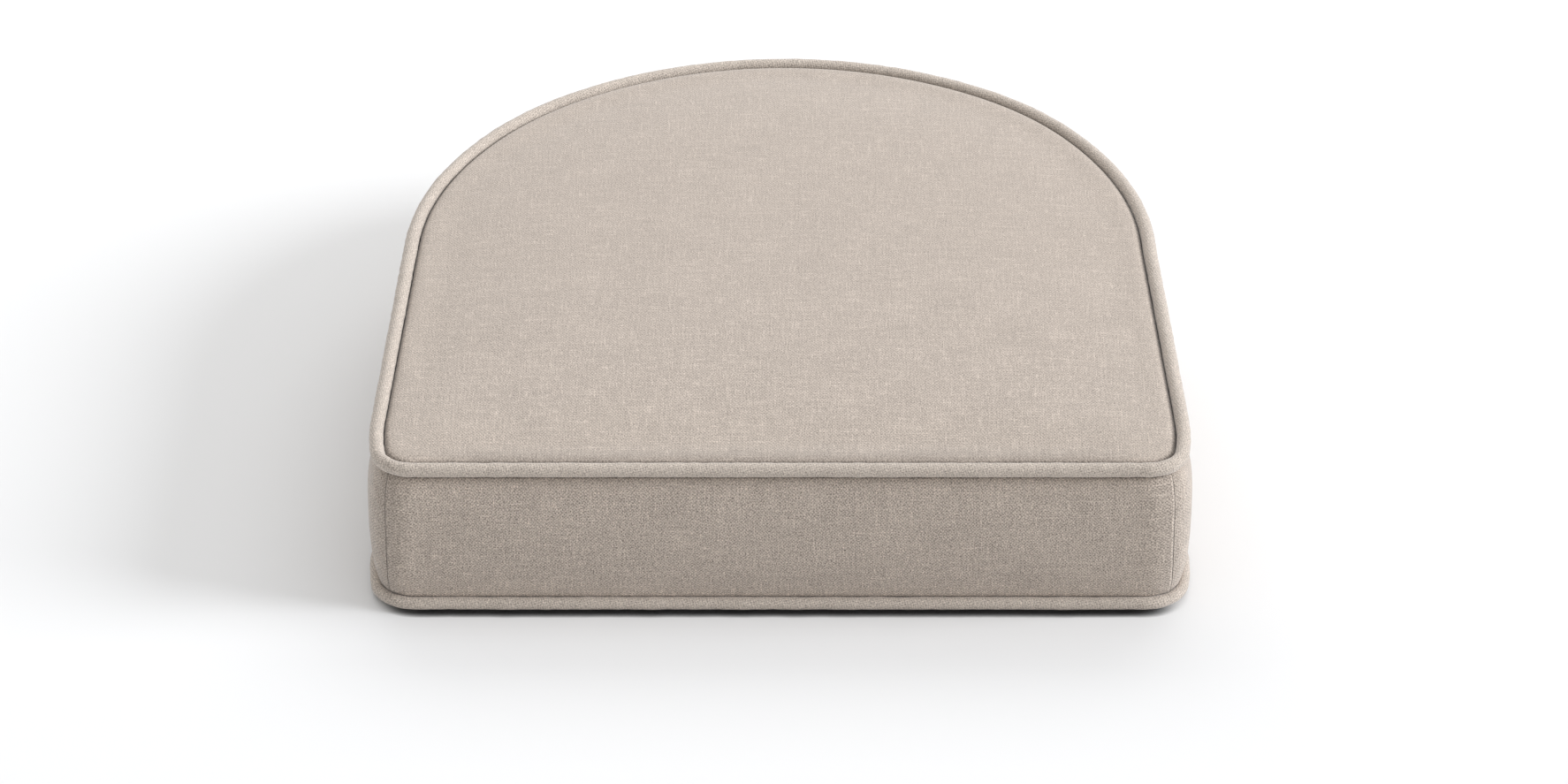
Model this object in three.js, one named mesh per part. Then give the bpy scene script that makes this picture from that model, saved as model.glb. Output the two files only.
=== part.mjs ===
// A boxed seat cushion with piping: a straight front, round front corners, sides that taper a little
// and a round back. Millimetres, +Z up, front towards -Y, lying on its bottom panel at z = 0.
import * as THREE from "three";

// Driving sizes
const SEAM_WIDTH = 507; // 20 in from side seam to side seam, just behind the front corners
const SEAM_DEPTH = 508; // 20 in from the front seam to the back seam
const BOXING_HEIGHT = 100.3; // 4 in, a little squashed, between the middles of the two pipings
const PIPING_RADIUS = 4.8;
const FOOT_PIPING_RADIUS = 4.3; // the bottom piping is pulled tighter
const FOOT_LIFT = 2; // and stays this far above the floor, because the bottom panel rolls up to it
const CORNER_RADIUS = 23; // of the piping's middle at the front corners
const SHOULDER_RADIUS = 200; // of the gentle bow between each corner and its straight side
const BACK_HALF_WIDTH = 244.2; // half axes of the ellipse that the back follows
const BACK_DEPTH = 250;
const CROWN = 8; // how far the middle of the top panel domes above its rolled edge
const TOP_ROLL = 3.2; // height of the panel's quick roll beside the piping
const TOP_ROLL_REACH = 4.5; // how far in most of that roll is done
const FOOT_ROLL_REACH = 12; // the bottom panel leaves the floor this far from its seam
const BULGE = 7; // how far the boxing stands out past the middle of the top piping
const BULGE_DROP = 49.4; // the bulge is fullest this far under it
const BOXING_EDGE = { out: -3.3, down: 4.2 }; // where the boxing leaves the seam, from the piping's middle
const BOXING_TURN = { out: 4.4, down: 12.2 }; // what it heads for as it comes out from under the piping
const BOXING_FULL = 27.2; // it is almost upright this far under the piping
const FOOT_EDGE = { out: -1.9, up: 3.5 }; // the same three over the bottom piping's middle
const FOOT_TURN = { out: 3.2, up: 11.7 };
const FOOT_FULL = 27;
const SEAM_WALL = 5.6; // height of the body's upright wall behind the top piping
const FOOT_WALL = { out: -3.7, up: 4.1 }; // where the body turns in behind the bottom piping
const SPLAY = 1.5; // the bottom piping is pressed outwards by the weight
const CLOTH = 1.6; // thickness of the boxing cloth
const GAP = 0.3; // between neighbouring pieces
const SEAM_ANGLE = THREE.MathUtils.degToRad(45); // place of each upright seam on its corner
const SHOULDER_ANGLE = THREE.MathUtils.degToRad(7); // where the gentle bow takes over from the corner
const SEAM_PULL = 1.8; // an upright seam draws the boxing in by this much
const SEAM_PULL_REACH = 8;

// Steps of the faceted surfaces
const FRONT_STEPS = 8;
const CORNER_FRONT_STEPS = 5;
const CORNER_SIDE_STEPS = 4;
const SHOULDER_STEPS = 3;
const SIDE_STEPS = 5;
const BACK_STEPS = 36;
const PIPING_SIDES = 12;
const BISECTIONS = 50;
const SECTION_STEPS = [0, 0.1, 0.25, 0.5, 0.75, 1];
const TOP_SHARES = [0, 0.006, 0.014, 0.03, 0.06, 0.12, 0.25, 0.5, 0.75];
const BOTTOM_SHARES = [0.75, 0.4, 0.1, 0.048, 0.03, 0.014, 0.006, 0];

// Worked out from the sizes above
const halfWidth = SEAM_WIDTH / 2 + PIPING_RADIUS;
const halfDepth = SEAM_DEPTH / 2 + PIPING_RADIUS;
const shoulderX = halfWidth - SHOULDER_RADIUS;
const cornerX = shoulderX + (SHOULDER_RADIUS - CORNER_RADIUS) * Math.cos(SHOULDER_ANGLE);
const cornerY = CORNER_RADIUS - halfDepth;
const shoulderY = cornerY + (SHOULDER_RADIUS - CORNER_RADIUS) * Math.sin(SHOULDER_ANGLE);
const backY = halfDepth - BACK_DEPTH;
const bottomSeamZ = FOOT_LIFT + FOOT_PIPING_RADIUS;
const topSeamZ = bottomSeamZ + BOXING_HEIGHT;
const topSeamInset = PIPING_RADIUS + GAP;
const footSeamOut = SPLAY - FOOT_PIPING_RADIUS - GAP;
const meanRadius = (SEAM_WIDTH + SEAM_DEPTH) / 4;
const seamGapAngle = GAP / 2 / (CORNER_RADIUS - PIPING_RADIUS);
const quarterTurn = Math.PI / 2;
const halfTurn = Math.PI;

// One station on the plan outline of the piping's middle, with the direction that faces out there
function station(x, y, angle) {
  return { x, y, angle, outX: Math.cos(angle), outY: Math.sin(angle) };
}

// A front corner: a tight arc that turns into a gentle bow. The left one mirrors the right one.
function cornerStation(side, angle) {
  const rightAngle = side > 0 ? angle : halfTurn - angle;
  const tight = rightAngle < -SHOULDER_ANGLE;
  const radius = tight ? CORNER_RADIUS : SHOULDER_RADIUS;
  const x = (tight ? cornerX : shoulderX) + radius * Math.cos(rightAngle);
  const y = (tight ? cornerY : shoulderY) + radius * Math.sin(rightAngle);
  return station(side * x, y, angle);
}

function backStation(angle) {
  const across = BACK_HALF_WIDTH * Math.cos(angle);
  const along = BACK_DEPTH * Math.sin(angle);
  const reach = Math.hypot(across, along);
  const x = (BACK_HALF_WIDTH * across) / reach;
  const y = backY + (BACK_DEPTH * along) / reach;
  return station(x, y, angle);
}

// The straight side touches both the corner's bow and the back's ellipse, and faces this way
function findTaperAngle() {
  let low = 0;
  let high = quarterTurn / 2;
  for (let i = 0; i < BISECTIONS; i++) {
    const middle = (low + high) / 2;
    const corner = cornerStation(1, middle);
    const back = backStation(middle);
    const lead = (corner.x - back.x) * corner.outX + (corner.y - back.y) * corner.outY;
    if (lead > 0) {
      low = middle;
    } else {
      high = middle;
    }
  }
  return low;
}

function arc(place, from, to, steps) {
  return Array.from({ length: steps + 1 }, (_, i) => place(from + ((to - from) * i) / steps));
}

function straight(start, end, steps) {
  return Array.from({ length: steps - 1 }, (_, i) => {
    const share = (i + 1) / steps;
    const x = start.x + (end.x - start.x) * share;
    const y = start.y + (end.y - start.y) * share;
    return station(x, y, start.angle);
  });
}

// The outline runs anticlockwise seen from above: first the front strip's run, from the left upright
// seam to the right one, and then the side strip's run, round the back
const taperAngle = findTaperAngle();
const rightCorner = (angle) => cornerStation(1, angle);
const leftCorner = (angle) => cornerStation(-1, angle);
const leftFrontArc = arc(
  leftCorner,
  halfTurn + SEAM_ANGLE + seamGapAngle,
  halfTurn + quarterTurn,
  CORNER_FRONT_STEPS,
);
const rightFrontArc = arc(rightCorner, -quarterTurn, -SEAM_ANGLE - seamGapAngle, CORNER_FRONT_STEPS);
const rightSideArc = [
  ...arc(rightCorner, -SEAM_ANGLE + seamGapAngle, -SHOULDER_ANGLE, CORNER_SIDE_STEPS),
  ...arc(rightCorner, -SHOULDER_ANGLE, taperAngle, SHOULDER_STEPS).slice(1),
];
const backArc = arc(backStation, taperAngle, halfTurn - taperAngle, BACK_STEPS);
const leftSideArc = [
  ...arc(leftCorner, halfTurn - taperAngle, halfTurn + SHOULDER_ANGLE, SHOULDER_STEPS),
  ...arc(
    leftCorner,
    halfTurn + SHOULDER_ANGLE,
    halfTurn + SEAM_ANGLE - seamGapAngle,
    CORNER_SIDE_STEPS,
  ).slice(1),
];
const frontRun = [
  ...leftFrontArc,
  ...straight(leftFrontArc.at(-1), rightFrontArc[0], FRONT_STEPS),
  ...rightFrontArc,
];
const sideRun = [
  ...rightSideArc,
  ...straight(rightSideArc.at(-1), backArc[0], SIDE_STEPS),
  ...backArc,
  ...straight(backArc.at(-1), leftSideArc[0], SIDE_STEPS),
  ...leftSideArc,
];
const outline = [...frontRun, ...sideRun];

function pointAt(place, out, z) {
  return new THREE.Vector3(place.x + place.outX * out, place.y + place.outY * out, z);
}

// The seam's loop drawn in towards the middle of the plan by a share of its size
function drawnIn(out, share, z) {
  return outline.map((place) => {
    const point = pointAt(place, out, z);
    return new THREE.Vector3(point.x * (1 - share), point.y * (1 - share), z);
  });
}

function topHeight(share) {
  const roll = TOP_ROLL * (1 - Math.exp((-share * meanRadius) / TOP_ROLL_REACH));
  const dome = CROWN * (1 - (1 - share) ** 2);
  return topSeamZ + roll + dome;
}

function bottomHeight(share) {
  const left = Math.max(0, 1 - (share * meanRadius) / FOOT_ROLL_REACH);
  return bottomSeamZ * left ** 2;
}

// The boxing's upright section, from the top seam to the bottom one, as steps out from the middle of
// the top piping and heights. It comes out from under the top piping, is fullest halfway down and comes
// in again over the bottom piping. inset is how far under the outer face it lies.
function boxingSection(inset) {
  const fullZ = topSeamZ - BULGE_DROP;
  const upper = new THREE.CubicBezierCurve(
    new THREE.Vector2(BOXING_EDGE.out, topSeamZ - BOXING_EDGE.down),
    new THREE.Vector2(BOXING_TURN.out, topSeamZ - BOXING_TURN.down),
    new THREE.Vector2(BULGE, topSeamZ - BOXING_FULL),
    new THREE.Vector2(BULGE, fullZ),
  );
  const lower = new THREE.CubicBezierCurve(
    new THREE.Vector2(BULGE, fullZ),
    new THREE.Vector2(BULGE, bottomSeamZ + FOOT_FULL),
    new THREE.Vector2(FOOT_TURN.out, bottomSeamZ + FOOT_TURN.up),
    new THREE.Vector2(FOOT_EDGE.out, bottomSeamZ + FOOT_EDGE.up),
  );
  const insetPoint = (curve, step) => {
    const point = curve.getPoint(step);
    const along = curve.getTangent(step);
    return { out: point.x + along.y * inset, z: point.y - along.x * inset };
  };
  return [
    ...SECTION_STEPS.map((step) => insetPoint(upper, step)),
    ...SECTION_STEPS.slice(0, -1).reverse().map((step) => insetPoint(lower, 1 - step)),
  ];
}

// An upright seam draws the boxing in where the boxing bulges, and not at the two pipings
function seamPull(place, out) {
  const toRight = Math.abs(place.angle + SEAM_ANGLE);
  const toLeft = Math.abs(place.angle - halfTurn - SEAM_ANGLE);
  const away = (Math.min(toRight, toLeft) * CORNER_RADIUS) / SEAM_PULL_REACH;
  const fullness = THREE.MathUtils.clamp(out / BULGE, 0, 1);
  return SEAM_PULL * fullness * Math.exp(-away * away);
}

function boxingPoint(place, { out, z }) {
  return pointAt(place, out - seamPull(place, out), z);
}

// Rows of points become quads; the rows' own points always close on themselves
function surface(rows, closeRows) {
  const across = rows[0].length;
  const index = [];
  const bands = closeRows ? rows.length : rows.length - 1;
  for (let row = 0; row < bands; row++) {
    const next = (row + 1) % rows.length;
    for (let i = 0; i < across; i++) {
      const j = (i + 1) % across;
      const a = row * across + i;
      const b = row * across + j;
      const c = next * across + j;
      const d = next * across + i;
      index.push(a, d, c, a, c, b);
    }
  }
  return { points: rows.flat(), index };
}

function toGeometry({ points, index }) {
  const geometry = new THREE.BufferGeometry().setFromPoints(points).setIndex(index);
  geometry.computeVertexNormals();
  return geometry;
}

// A solid of stacked loops, closed by a point in the middle of the first loop and of the last
function filledSolid(loops, first, last) {
  const shape = surface(loops, false);
  const across = outline.length;
  const firstPoint = shape.points.push(first) - 1;
  const lastPoint = shape.points.push(last) - 1;
  const lastLoop = (loops.length - 1) * across;
  for (let i = 0; i < across; i++) {
    const j = (i + 1) % across;
    shape.index.push(firstPoint, i, j);
    shape.index.push(lastPoint, lastLoop + j, lastLoop + i);
  }
  return toGeometry(shape);
}

// A strip swept along a run of stations and closed at its two ends. Its section goes up the outer face
// and down the inner one.
function stripSolid(run) {
  const outer = boxingSection(0).reverse();
  const inner = boxingSection(CLOTH);
  const section = [...outer, ...inner];
  const across = section.length;
  const rows = run.map((place) => section.map((step) => boxingPoint(place, step)));
  const shape = surface(rows, false);
  const lastRow = (rows.length - 1) * across;
  for (let i = 0; i < outer.length - 1; i++) {
    const opposite = across - 1 - i;
    shape.index.push(i, i + 1, opposite - 1, i, opposite - 1, opposite);
    shape.index.push(lastRow + i, lastRow + opposite - 1, lastRow + i + 1);
    shape.index.push(lastRow + i, lastRow + opposite, lastRow + opposite - 1);
  }
  return toGeometry(shape);
}

// The piping's section is a polygon, with flat sides towards the body and the floor
function pipingSolid(radius, out, z) {
  const cornerReach = radius / Math.cos(halfTurn / PIPING_SIDES);
  const rows = outline.map((place) =>
    Array.from({ length: PIPING_SIDES }, (_, i) => {
      const angle = ((i + 0.5) * 2 * halfTurn) / PIPING_SIDES;
      return pointAt(place, out + cornerReach * Math.cos(angle), z + cornerReach * Math.sin(angle));
    }),
  );
  return toGeometry(surface(rows, true));
}

// The filled body: the crowned top panel, the wall under the boxing and the flat bottom panel
function cushionSolid() {
  const wall = [
    { out: -topSeamInset, z: topSeamZ - SEAM_WALL },
    ...boxingSection(CLOTH + GAP),
    { out: FOOT_WALL.out, z: bottomSeamZ + FOOT_WALL.up },
  ];
  const top = TOP_SHARES.map((share) => drawnIn(-topSeamInset, share, topHeight(share)));
  const bottom = BOTTOM_SHARES.map((share) => drawnIn(footSeamOut, share, bottomHeight(share)));
  const loops = [
    ...top.reverse(),
    ...wall.map((step) => outline.map((place) => boxingPoint(place, step))),
    ...bottom.reverse(),
  ];
  return filledSolid(loops, new THREE.Vector3(0, 0, topHeight(1)), new THREE.Vector3(0, 0, 0));
}

const linen = new THREE.MeshStandardMaterial({ color: 0xc6bab0, roughness: 0.92, metalness: 0 });
const boxingLinen = linen.clone();
boxingLinen.color.set(0xc1b5a9);
const pipingLinen = linen.clone();
pipingLinen.color.set(0xcbc0b6);

function piece(name, geometry, material) {
  const mesh = new THREE.Mesh(geometry, material);
  mesh.name = name;
  return mesh;
}

const seatCushion = new THREE.Group();
seatCushion.add(
  piece("cushion", cushionSolid(), linen),
  piece("front_boxing", stripSolid(frontRun), boxingLinen),
  piece("side_boxing", stripSolid(sideRun), boxingLinen),
  piece("top_piping", pipingSolid(PIPING_RADIUS, 0, topSeamZ), pipingLinen),
  piece("bottom_piping", pipingSolid(FOOT_PIPING_RADIUS, SPLAY, bottomSeamZ), pipingLinen),
);

export default seatCushion;
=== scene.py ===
"""A boxed seat cushion with piping, in oatmeal linen, dressed round its CAD solids."""
import math

import bpy
import numpy as np
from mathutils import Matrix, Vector, kdtree


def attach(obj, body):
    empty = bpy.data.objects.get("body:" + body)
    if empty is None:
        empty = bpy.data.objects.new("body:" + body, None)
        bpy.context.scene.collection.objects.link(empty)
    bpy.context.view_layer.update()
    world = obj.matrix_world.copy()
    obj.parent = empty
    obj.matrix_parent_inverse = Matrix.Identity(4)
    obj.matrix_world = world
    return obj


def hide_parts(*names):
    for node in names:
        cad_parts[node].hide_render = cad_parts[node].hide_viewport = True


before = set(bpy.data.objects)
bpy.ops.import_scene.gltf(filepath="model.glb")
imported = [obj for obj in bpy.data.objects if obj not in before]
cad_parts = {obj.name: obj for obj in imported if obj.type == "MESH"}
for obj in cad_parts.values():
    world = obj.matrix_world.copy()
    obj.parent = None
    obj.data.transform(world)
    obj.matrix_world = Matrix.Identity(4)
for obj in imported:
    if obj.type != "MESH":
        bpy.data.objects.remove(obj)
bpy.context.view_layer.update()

MM = 0.001

# The cushion's driving sizes, in millimetres, and directions
SEAM_WIDTH = 507.4
SEAM_DEPTH = 509.6
BOXING_HEIGHT = 99.45
PIPING_RADIUS = 4.8
FOOT_PIPING_RADIUS = 4.3
FOOT_LIFT = 2.5
CORNER_RADIUS = 23.0
SHOULDER_RADIUS = 200.0
SHOULDER_ANGLE = math.radians(7)
BACK_HALF_WIDTH = 243.8
BACK_DEPTH = 250.0
BACK_LEAN = 3.0  # the back's round was sewn a little to the right
# Where the back is fuller than an ellipse, and by how much, on the right and on the left
BACK_FULL = ((math.radians(47), 1.35), (math.radians(133), 0.7))
BACK_FULL_REACH = math.radians(13)
CROWN = 7.5
TOP_ROLL = 2.3
TOP_ROLL_REACH = 1.6
TOP_SLOPE = 1.4
TOP_SLOPE_REACH = 9.0
FOOT_ROLL_REACH = 12.0
BULGE = 7.0
BULGE_DROP = 49.4
# Points of the boxing's section, out from the piping's middle and up from it
BOXING_EDGE = (-3.3, -4.2)
BOXING_TURN = (4.4, -12.2)
BOXING_FULL = 27.2
FOOT_EDGE = (0.2, 3.82)
FOOT_TURN = (3.2, 11.7)
FOOT_FULL = 27.0
SEAM_WALL = 5.6
FOOT_LIP = (-1.6, 3.1)
SPLAY = 2.0  # how far the bottom piping stands out past the top one
GAP = 0.3
CLOTH = 1.3
SEAM_ANGLE = math.radians(54)
# How the upright seams bow, stand proud of the cloth beside them and flatten it before them
SEAM_BOW = 3.2
SEAM_BOW_REACH = 30.0
SEAM_PROUD = 1.0
SEAM_PROUD_REACH = (12.0, 8.0)  # on the front strip and on the side strip
CORNER_FLAT = 1.3
CORNER_FLAT_AT = 20.0
CORNER_FLAT_REACH = 35.0

# Worked out from them
HALF_WIDTH = SEAM_WIDTH / 2 + PIPING_RADIUS
HALF_DEPTH = SEAM_DEPTH / 2 + PIPING_RADIUS
SHOULDER_X = HALF_WIDTH - SHOULDER_RADIUS
CORNER_X = SHOULDER_X + (SHOULDER_RADIUS - CORNER_RADIUS) * math.cos(SHOULDER_ANGLE)
CORNER_Y = CORNER_RADIUS - HALF_DEPTH
SHOULDER_Y = CORNER_Y + (SHOULDER_RADIUS - CORNER_RADIUS) * math.sin(SHOULDER_ANGLE)
BACK_Y = HALF_DEPTH - BACK_DEPTH
BOTTOM_Z = FOOT_LIFT + FOOT_PIPING_RADIUS
TOP_Z = BOTTOM_Z + BOXING_HEIGHT
TOP_SEAM_OUT = -PIPING_RADIUS - GAP
FOOT_SEAM_OUT = SPLAY - FOOT_PIPING_RADIUS - GAP
MEAN_RADIUS = (SEAM_WIDTH + SEAM_DEPTH) / 4

# How finely the outline is worked out, and the piping's and strips' unevenness
HALVINGS = 50
RUN_POINTS = 400
JOIN_POINTS = 200
SAME_PLACE = 1e-6
NOISE_WAVES = 36
FEWEST_WAVES = 2

# The photograph's frame, in its own pixels, and where one point of the cushion lies in it
PHOTO_WIDTH, PHOTO_HEIGHT = 1774, 887
FRONT_MIDDLE = (0.0, -259.0, 106.6)
FRONT_MIDDLE_PX = (882.4, 530.7)
FOCAL_PX = 11045.0
CAMERA_PITCH = math.radians(31.64)
CAMERA_DISTANCE = 6216.0


# Camera

def make_camera():
    """The photograph's own view. The camera is moved sideways and up, so its lens has no shift."""
    forward = np.array([0.0, math.cos(CAMERA_PITCH), -math.sin(CAMERA_PITCH)])
    up = np.array([0.0, math.sin(CAMERA_PITCH), math.cos(CAMERA_PITCH)])
    per_px = CAMERA_DISTANCE / FOCAL_PX
    right_shift = (PHOTO_WIDTH / 2 - FRONT_MIDDLE_PX[0]) * per_px
    up_shift = (FRONT_MIDDLE_PX[1] - PHOTO_HEIGHT / 2) * per_px
    place = np.array(FRONT_MIDDLE) - CAMERA_DISTANCE * forward + up_shift * up
    place[0] += right_shift
    data = bpy.data.cameras.new("camera")
    data.sensor_fit = "HORIZONTAL"
    data.sensor_width = 36.0
    data.lens = FOCAL_PX / PHOTO_WIDTH * data.sensor_width
    data.clip_start, data.clip_end = 0.05, 60.0
    camera = bpy.data.objects.new("camera", data)
    camera.location = place * MM
    camera.rotation_euler = (math.pi / 2 - CAMERA_PITCH, 0.0, 0.0)
    bpy.context.scene.collection.objects.link(camera)
    bpy.context.scene.camera = camera


# Plan outline

def corner_points(side, angle):
    """A front corner's tight arc and the gentle bow after it, by the angle they face on the right."""
    tight = np.asarray(angle) < -SHOULDER_ANGLE
    radius = np.where(tight, CORNER_RADIUS, SHOULDER_RADIUS)
    x = np.where(tight, CORNER_X, SHOULDER_X) + radius * np.cos(angle)
    y = np.where(tight, CORNER_Y, SHOULDER_Y) + radius * np.sin(angle)
    return np.stack([side * x, y], -1)


def back_points(angle):
    """The back's round, by the angle it faces."""
    across, along = BACK_HALF_WIDTH * np.cos(angle), BACK_DEPTH * np.sin(angle)
    reach = np.hypot(across, along)
    return np.stack([BACK_HALF_WIDTH * across / reach, BACK_Y + BACK_DEPTH * along / reach], -1)


def taper_angle():
    """The angle faced where a side's gentle bow meets the back's round."""
    low, high = 0.0, math.pi / 4
    for _ in range(HALVINGS):
        middle = (low + high) / 2
        out = np.array([math.cos(middle), math.sin(middle)])
        lead = (corner_points(1, middle) - back_points(middle)) @ out
        low, high = (middle, high) if lead > 0 else (low, middle)
    return low


def span(first, last):
    return first + (last - first) * np.linspace(0, 1, RUN_POINTS)


class Outline:
    """The middle of the piping in plan, from the left upright seam anticlockwise round to it again."""

    def __init__(self):
        taper = taper_angle()
        runs = [
            corner_points(-1, span(-SEAM_ANGLE, -math.pi / 2)),
            corner_points(1, span(-math.pi / 2, -SEAM_ANGLE)),
            corner_points(1, span(-SEAM_ANGLE, -SHOULDER_ANGLE)),
            corner_points(1, span(-SHOULDER_ANGLE, taper)),
            back_points(span(taper, math.pi - taper)),
            corner_points(-1, span(taper, -SHOULDER_ANGLE)),
            corner_points(-1, span(-SHOULDER_ANGLE, -SEAM_ANGLE)),
        ]
        points, marks = [], []
        for run in runs:
            if points:
                step = np.linspace(0, 1, JOIN_POINTS)[1:-1, None]
                points.append(points[-1][-1] + (run[0] - points[-1][-1]) * step)
            points.append(run)
            marks.append(sum(map(len, points)) - 1)
        way = np.concatenate(points)
        keep = np.r_[True, np.linalg.norm(np.diff(way, axis=0), axis=1) > SAME_PLACE]
        seam_at = keep[: marks[1] + 1].sum() - 1
        way = way[keep]
        lean = BACK_LEAN * np.clip((way[:, 1] - BACK_Y) / BACK_DEPTH, 0, 1)
        way[:, 0] += lean
        angle = np.arctan2(way[:, 1] - BACK_Y, way[:, 0])
        for middle, full in BACK_FULL:
            more = full * np.exp(-(((angle - middle) / BACK_FULL_REACH) ** 2))
            way += more[:, None] * np.stack([np.cos(angle), np.sin(angle)], -1)
        self.s = np.r_[0, np.cumsum(np.linalg.norm(np.diff(way, axis=0), axis=1))]
        self.length = self.s[-1]
        self.right_seam = self.s[seam_at]
        along = np.gradient(way, self.s, axis=0)
        along /= np.linalg.norm(along, axis=1)[:, None]
        self.way = way
        self.out = np.stack([along[:, 1], -along[:, 0]], -1)

    def between(self, values, s):
        return np.stack([np.interp(s, self.s, values[:, 0]), np.interp(s, self.s, values[:, 1])], -1)

    def at(self, s):
        """Places and outward directions at those ways along."""
        s = np.mod(s, self.length)
        out = self.between(self.out, s)
        return self.between(self.way, s), out / np.linalg.norm(out, axis=-1, keepdims=True)

    def to_seam(self, s):
        """How far each place lies from the nearer upright seam, along the outline."""
        s = np.mod(s, self.length)
        ends = [0.0, self.right_seam, self.length]
        return np.min([np.abs(s - end) for end in ends], axis=0)


outline = Outline()


def smooth_noise(s, period, seed, smallest):
    """Noise along a closed run of that length, as a sum of whole waves."""
    rng = np.random.default_rng(seed)
    total = np.zeros_like(s)
    most = int(period / smallest)
    for _ in range(NOISE_WAVES):
        waves = int(rng.integers(FEWEST_WAVES, most))
        total += rng.normal() * np.sin(2 * math.pi * waves * s / period + rng.uniform(0, 2 * math.pi))
    return total / math.sqrt(NOISE_WAVES / 2)


def smooth_step(share):
    """A share from 0 to 1, eased at both ends."""
    return share * share * (3 - 2 * share)


# Sections

def bezier(corners, t):
    """Points and unit directions of a cubic curve."""
    a, b, c, d = (np.array(corner) for corner in corners)
    t = t[:, None]
    place = (1 - t) ** 3 * a + 3 * (1 - t) ** 2 * t * b + 3 * (1 - t) * t**2 * c + t**3 * d
    along = (1 - t) ** 2 * (b - a) + 2 * (1 - t) * t * (c - b) + t**2 * (d - c)
    return place, along / np.linalg.norm(along, axis=1)[:, None]


def boxing_section(share, inset):
    """Steps out from the top piping's middle, and heights, for shares from 0 at the top seam to 1."""
    full_z = TOP_Z - BULGE_DROP
    upper = (
        (BOXING_EDGE[0], TOP_Z + BOXING_EDGE[1]),
        (BOXING_TURN[0], TOP_Z + BOXING_TURN[1]),
        (BULGE, TOP_Z - BOXING_FULL),
        (BULGE, full_z),
    )
    lower = (
        (BULGE, full_z),
        (BULGE, BOTTOM_Z + FOOT_FULL),
        (FOOT_TURN[0], BOTTOM_Z + FOOT_TURN[1]),
        (FOOT_EDGE[0], BOTTOM_Z + FOOT_EDGE[1]),
    )
    place_up, along_up = bezier(upper, np.clip(2 * share, 0, 1))
    place_low, along_low = bezier(lower, np.clip(2 * share - 1, 0, 1))
    top = (share <= 0.5)[:, None]
    place, along = np.where(top, place_up, place_low), np.where(top, along_up, along_low)
    return place[:, 0] + along[:, 1] * inset, place[:, 1] - along[:, 0] * inset


def seam_pull(s, out):
    """How far a boxing is drawn in near its upright seams. It is flat before them and proud at them."""
    away = outline.to_seam(s)
    in_front = np.mod(s, outline.length) < outline.right_seam
    proud = SEAM_PROUD * np.exp(-away / np.where(in_front, *SEAM_PROUD_REACH))
    rise = np.sin(math.pi / 2 * np.clip(away / CORNER_FLAT_AT, 0, 1)) ** 2
    past = np.clip(away - CORNER_FLAT_AT, 0, None) / CORNER_FLAT_REACH
    flat = CORNER_FLAT * rise * np.exp(-past * past) * in_front
    return (flat - proud) * np.clip(out / BULGE, 0, 1)


def plain_dome(share):
    """A panel's rise from 0 at its seam to 1 in the middle, before any swelling."""
    return 1 - (1 - share) ** 2


def top_height(share):
    near = share * MEAN_RADIUS
    roll = TOP_ROLL * (1 - np.exp(-near / TOP_ROLL_REACH))
    slope = TOP_SLOPE * (1 - np.exp(-near / TOP_SLOPE_REACH))
    return TOP_Z + (roll + slope) + CROWN * plain_dome(share)


def bottom_height(share):
    left = np.clip(1 - share * MEAN_RADIUS / FOOT_ROLL_REACH, 0, None)
    return BOTTOM_Z * left**2


# Meshes

def grid_faces(rows, columns, close_rows=False, close_columns=False):
    """Quads between the rows of a grid of points, with each corner's row and column before any wrap."""
    r = np.arange(rows if close_rows else rows - 1)
    c = np.arange(columns if close_columns else columns - 1)
    r, c = np.meshgrid(r, c, indexing="ij")
    corners = np.stack([[r, c], [r + 1, c], [r + 1, c + 1], [r, c + 1]]).reshape(4, 2, -1)
    return corners.transpose(2, 0, 1)


class Piece:
    """Collects points, faces and the cloth's own coordinates, and turns them into a mesh object.

    The layer "grain" runs along the threads. The layer "seam" holds the way along the nearest seam and the
    way in from it.
    """

    def __init__(self, name):
        self.name = name
        self.points, self.faces, self.grain, self.seam = [], [], [], []
        self.count = 0

    def add_grid(self, places, grain, seam, close_rows=False, close_columns=False, flip=False):
        """places is rows x columns x 3; grain and seam have one more row or column where the grid closes."""
        rows, columns = places.shape[:2]
        corners = grid_faces(rows, columns, close_rows, close_columns)
        if flip:
            corners = corners[:, ::-1]
        row, column = corners[:, :, 0], corners[:, :, 1]
        index = (row % rows) * columns + column % columns
        self.faces += (index + self.count).tolist()
        self.grain.append(grain[row, column].reshape(-1, 2))
        self.seam.append(seam[row, column].reshape(-1, 2))
        self.points.append(places.reshape(-1, 3))
        self.count += rows * columns
        return self.count - rows * columns

    def add_point(self, place):
        self.points.append(np.asarray(place, float).reshape(1, 3))
        self.count += 1
        return self.count - 1

    def add_face(self, corners, grain, seam):
        self.faces.append(list(corners))
        self.grain.append(np.asarray(grain, float).reshape(-1, 2))
        self.seam.append(np.asarray(seam, float).reshape(-1, 2))

    def build(self):
        mesh = bpy.data.meshes.new(self.name)
        mesh.from_pydata((np.concatenate(self.points) * MM).tolist(), [], self.faces)
        for name, corners in (("grain", self.grain), ("seam", self.seam)):
            layer = mesh.uv_layers.new(name=name)
            layer.uv.foreach_set("vector", (np.concatenate(corners) * MM).astype(np.float32).ravel())
        mesh.polygons.foreach_set("use_smooth", [True] * len(mesh.polygons))
        mesh.update()
        mesh.validate()
        obj = bpy.data.objects.new(self.name, mesh)
        bpy.context.scene.collection.objects.link(obj)
        return obj


def lift(way, out, step, z):
    """Points at a step out from the piping's middle, for arrays that broadcast together."""
    x = way[..., 0] + out[..., 0] * step
    y = way[..., 1] + out[..., 1] * step
    return np.stack([x, y, np.broadcast_to(z, x.shape)], -1)


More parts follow.
